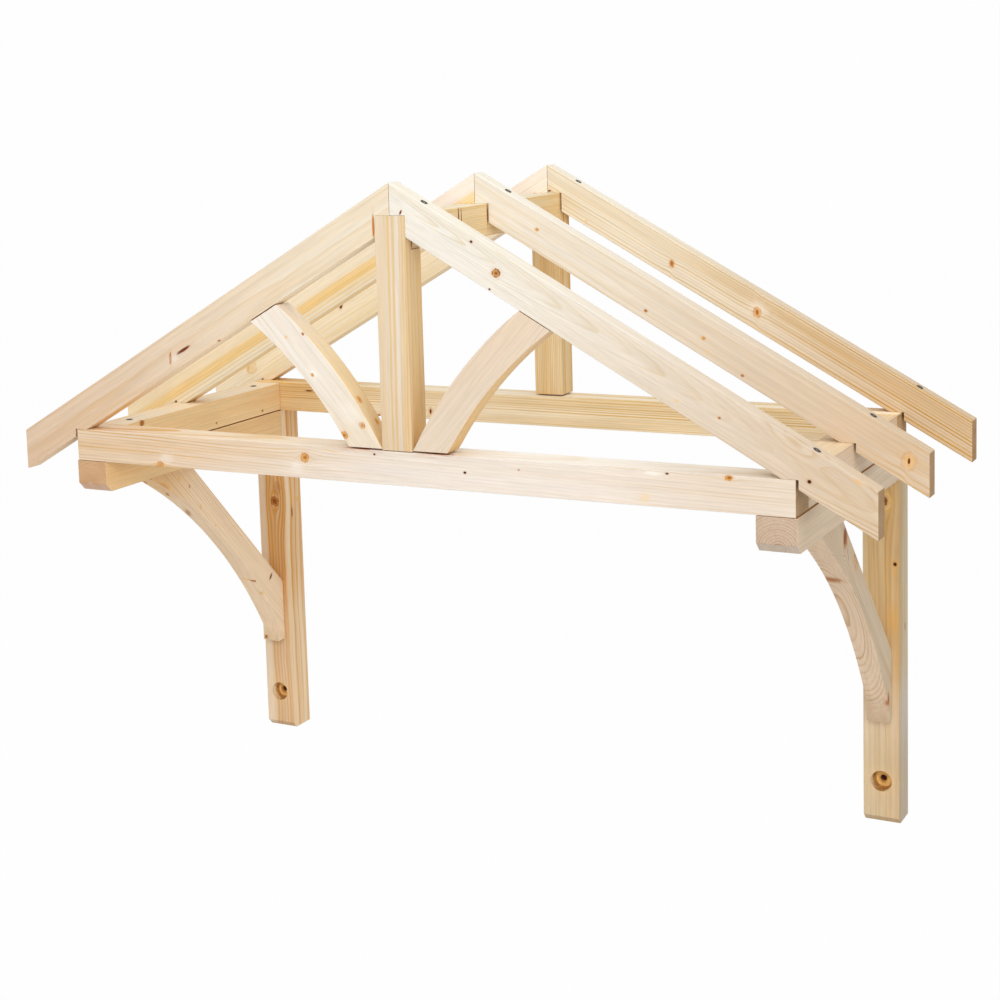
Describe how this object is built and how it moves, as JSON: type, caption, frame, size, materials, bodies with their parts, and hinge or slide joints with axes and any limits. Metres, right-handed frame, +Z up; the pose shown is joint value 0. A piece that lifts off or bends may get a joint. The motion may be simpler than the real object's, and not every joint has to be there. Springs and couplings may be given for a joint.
{
  "type": "timber gable porch canopy frame",
  "caption": "Open gable porch canopy frame in planed softwood, hung on a wall by two posts with curved bracket braces; rafters carry a pitched roof over a doorway.",
  "frame": {"origin": "on the wall face of the rear tie beam, at the middle of its length and height", "axes": "+X to the right seen from the front, -Y out from the wall to the front truss, +Z up"},
  "size_m": [2.354, 0.966, 1.7656],
  "materials": {
    "planed_softwood": "planed bare spruce, unstained, with visible grain and small knots",
    "screw_steel": "dark coated countersunk wood screws"
  },
  "bodies": {
    "root": {"front_tie_beam": "planed_softwood", "rear_tie_beam": "planed_softwood", "front_king_post": "planed_softwood", "rear_king_post": "planed_softwood", "ridge_purlin": "planed_softwood", "wall_post_left": "planed_softwood", "wall_post_right": "planed_softwood", "bracket_arm_left": "planed_softwood", "bracket_arm_right": "planed_softwood", "bracket_brace_left": "planed_softwood", "bracket_brace_right": "planed_softwood", "side_plate_left": "planed_softwood", "side_plate_right": "planed_softwood", "front_rafter_left": "planed_softwood", "front_rafter_right": "planed_softwood", "middle_rafter_left": "planed_softwood", "middle_rafter_right": "planed_softwood", "rear_rafter_left": "planed_softwood", "rear_rafter_right": "planed_softwood", "truss_strut_left": "planed_softwood", "truss_strut_right": "planed_softwood"}
  },
  "joints": []
}
